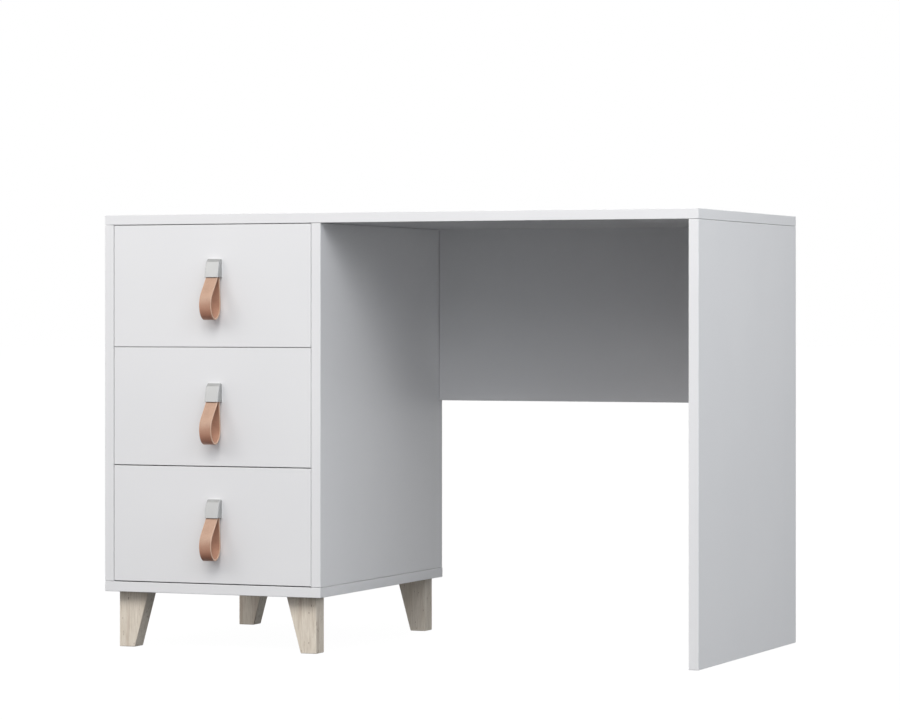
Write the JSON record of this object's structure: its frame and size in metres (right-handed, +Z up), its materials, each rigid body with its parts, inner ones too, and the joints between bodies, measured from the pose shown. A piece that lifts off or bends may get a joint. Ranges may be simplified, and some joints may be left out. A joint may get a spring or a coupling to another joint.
{
  "type": "writing desk with drawers",
  "caption": "White board desk with a cabinet of inset drawers on slanted wooden legs, a full-height end panel, a modesty panel and leather loop pulls.",
  "frame": {"origin": "on the floor, at the centre of the footprint, the leather loops of the drawers included", "axes": "+X to the right seen from the front, along the desk's width; +Y from the drawer fronts to the rear; +Z up"},
  "size_m": [1.1, 0.586, 0.76],
  "materials": {
    "white_board": "satin white melamine",
    "white_hardboard": "matt white lacquer",
    "pale_oak": "matt whitewashed oak",
    "leather": "smooth tan leather",
    "satin_metal": "satin",
    "zinc_steel": "zinc plated",
    "zinc_alloy": "raw die cast",
    "white_plastic": "moulded",
    "beech": "raw"
  },
  "bodies": {
    "desk": {"desk_top": "white_board", "right_end_panel": "white_board", "modesty_panel": "white_board", "cabinet_left_side": "white_board", "cabinet_right_side": "white_board", "cabinet_bottom": "white_board", "cabinet_back": "white_hardboard", "leg_front_left": "pale_oak", "leg_front_right": "pale_oak", "leg_rear_left": "pale_oak", "leg_rear_right": "pale_oak", "slide_channels": "zinc_steel", "slide_channel_screws": "zinc_steel", "cam_locks": "zinc_alloy", "cam_bolts": "zinc_steel", "cam_caps": "white_plastic", "wooden_dowels": "beech", "bottom_screws": "zinc_steel", "leg_screws": "zinc_steel", "back_nails": "zinc_steel"},
    "drawer_1": {"drawer_1_front": "white_board", "drawer_1_left_side": "white_board", "drawer_1_right_side": "white_board", "drawer_1_back": "white_board", "drawer_1_bottom": "white_hardboard", "drawer_1_slide_members": "zinc_steel", "drawer_1_cam_fittings": "zinc_alloy", "drawer_1_screws": "zinc_steel", "drawer_1_handle_clip": "satin_metal", "drawer_1_handle_screws": "zinc_steel", "drawer_1_strap_ends": "leather"},
    "drawer_1_cages": {"drawer_1_ball_cages": "zinc_steel"},
    "drawer_1_loop": {"drawer_1_strap_loop": "leather"},
    "drawer_2": {"drawer_2_front": "white_board", "drawer_2_left_side": "white_board", "drawer_2_right_side": "white_board", "drawer_2_back": "white_board", "drawer_2_bottom": "white_hardboard", "drawer_2_slide_members": "zinc_steel", "drawer_2_cam_fittings": "zinc_alloy", "drawer_2_screws": "zinc_steel", "drawer_2_handle_clip": "satin_metal", "drawer_2_handle_screws": "zinc_steel", "drawer_2_strap_ends": "leather"},
    "drawer_2_cages": {"drawer_2_ball_cages": "zinc_steel"},
    "drawer_2_loop": {"drawer_2_strap_loop": "leather"},
    "drawer_3": {"drawer_3_front": "white_board", "drawer_3_left_side": "white_board", "drawer_3_right_side": "white_board", "drawer_3_back": "white_board", "drawer_3_bottom": "white_hardboard", "drawer_3_slide_members": "zinc_steel", "drawer_3_cam_fittings": "zinc_alloy", "drawer_3_screws": "zinc_steel", "drawer_3_handle_clip": "satin_metal", "drawer_3_handle_screws": "zinc_steel", "drawer_3_strap_ends": "leather"},
    "drawer_3_cages": {"drawer_3_ball_cages": "zinc_steel"},
    "drawer_3_loop": {"drawer_3_strap_loop": "leather"}
  },
  "joints": [
    {"name": "drawer_1_slide", "type": "slide", "parent": "desk", "child": "drawer_1", "axis": [0, -1, 0], "range_m": [0, 0.365]},
    {"name": "drawer_1_cage_travel", "type": "slide", "parent": "desk", "child": "drawer_1_cages", "axis": [0, -1, 0], "range_m": [0, 0.1825]},
    {"name": "drawer_1_loop_swing", "type": "hinge", "parent": "drawer_1", "child": "drawer_1_loop", "pos_m": [-0.33375, -0.2654, 0.6492], "axis": [-1, 0, 0], "range_deg": [0, 50]},
    {"name": "drawer_2_slide", "type": "slide", "parent": "desk", "child": "drawer_2", "axis": [0, -1, 0], "range_m": [0, 0.365]},
    {"name": "drawer_2_cage_travel", "type": "slide", "parent": "desk", "child": "drawer_2_cages", "axis": [0, -1, 0], "range_m": [0, 0.1825]},
    {"name": "drawer_2_loop_swing", "type": "hinge", "parent": "drawer_2", "child": "drawer_2_loop", "pos_m": [-0.33375, -0.2654, 0.4332], "axis": [-1, 0, 0], "range_deg": [0, 50]},
    {"name": "drawer_3_slide", "type": "slide", "parent": "desk", "child": "drawer_3", "axis": [0, -1, 0], "range_m": [0, 0.365]},
    {"name": "drawer_3_cage_travel", "type": "slide", "parent": "desk", "child": "drawer_3_cages", "axis": [0, -1, 0], "range_m": [0, 0.1825]},
    {"name": "drawer_3_loop_swing", "type": "hinge", "parent": "drawer_3", "child": "drawer_3_loop", "pos_m": [-0.33375, -0.2654, 0.2316], "axis": [-1, 0, 0], "range_deg": [0, 50]}
  ],
  "couplings": [
    {"joint": "drawer_1_cage_travel", "follows": "drawer_1_slide", "ratio": 0.5},
    {"joint": "drawer_2_cage_travel", "follows": "drawer_2_slide", "ratio": 0.5},
    {"joint": "drawer_3_cage_travel", "follows": "drawer_3_slide", "ratio": 0.5}
  ]
}
